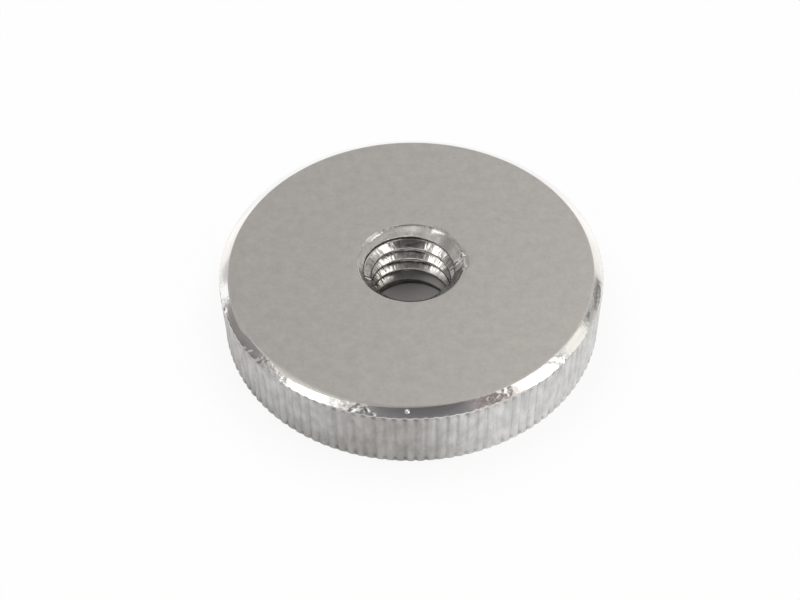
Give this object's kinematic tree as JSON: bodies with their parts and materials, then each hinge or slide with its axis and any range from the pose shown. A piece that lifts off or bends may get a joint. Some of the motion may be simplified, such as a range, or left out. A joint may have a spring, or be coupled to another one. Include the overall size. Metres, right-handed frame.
{
  "type": "knurled nut",
  "caption": "Thin round nut with a straight-knurled rim, bevelled edges and a countersunk threaded through hole, turned by hand to lock or clamp on a screw.",
  "frame": {"origin": "centre of the underside, on the thread axis", "axes": "+Z along the thread axis, from the underside to the top face, the one with the larger countersink; +X and +Y are free"},
  "size_m": [0.02, 0.02, 0.004],
  "materials": {
    "stainless": "satin turned stainless steel, brighter on the bevels and in the thread"
  },
  "bodies": {
    "root": {"knurled_nut": "stainless"}
  },
  "joints": []
}
